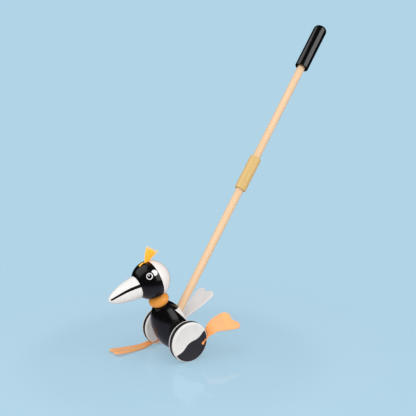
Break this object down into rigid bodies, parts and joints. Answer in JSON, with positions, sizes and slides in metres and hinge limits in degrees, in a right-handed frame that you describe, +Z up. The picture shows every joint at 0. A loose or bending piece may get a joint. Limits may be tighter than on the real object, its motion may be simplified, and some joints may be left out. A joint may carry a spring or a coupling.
{
  "type": "push-along bird toy",
  "caption": "Wooden push-along magpie on wheels with soft flapping web feet, pushed by a raked stick with a coupling sleeve and a rounded grip.",
  "frame": {"origin": "on the floor, under the middle of the toy's outer box", "axes": "the bird faces -X, the axle lies along Y with the bird's left at -Y, and +Z is up"},
  "size_m": [0.4778, 0.1292, 0.6],
  "materials": {
    "black_lacquer": "gloss black lacquer on turned wood",
    "white_lacquer": "satin white lacquer on wood",
    "orange_lacquer": "gloss orange lacquer on turned wood",
    "pale_wood": "clear varnished pale hardwood",
    "yellow_wood": "clear varnished yellowish wood",
    "tread_rubber": "matt black rubber",
    "foot_rubber": "soft satin orange rubber",
    "crest_yarn": "fluffy yellow-orange fibre"
  },
  "bodies": {
    "root": {"body": "black_lacquer", "neck_bead": "orange_lacquer", "neck_dowel": "pale_wood", "head": "black_lacquer", "beak": "white_lacquer", "beak_dowel": "pale_wood", "head_tuft": "crest_yarn", "tail": "white_lacquer", "lower_stick": "pale_wood", "upper_stick": "pale_wood", "stick_sleeve": "yellow_wood", "grip": "black_lacquer"},
    "wheelset": {"axle": "pale_wood", "left_wheel": "white_lacquer", "right_wheel": "white_lacquer", "left_tyre": "tread_rubber", "right_tyre": "tread_rubber", "left_spacer": "pale_wood", "right_spacer": "pale_wood", "left_foot_root": "foot_rubber", "right_foot_root": "foot_rubber"},
    "left_foot": {"left_foot_web": "foot_rubber"},
    "right_foot": {"right_foot_web": "foot_rubber"}
  },
  "joints": [
    {"name": "axle_spin", "type": "hinge", "parent": "root", "child": "wheelset", "pos_m": [-0.11402, -0.00062, 0.03525], "axis": [0, 1, 0], "continuous": true},
    {"name": "left_foot_flap", "type": "hinge", "parent": "wheelset", "child": "left_foot", "pos_m": [-0.07708, -0.04942, 0.03812], "axis": [0, 1, 0], "range_deg": [-35, 35], "stiffness_Nm_per_rad": 0.1},
    {"name": "right_foot_flap", "type": "hinge", "parent": "wheelset", "child": "right_foot", "pos_m": [-0.13705, 0.04818, 0.00623], "axis": [0, 1, 0], "range_deg": [-35, 35], "stiffness_Nm_per_rad": 0.1}
  ]
}
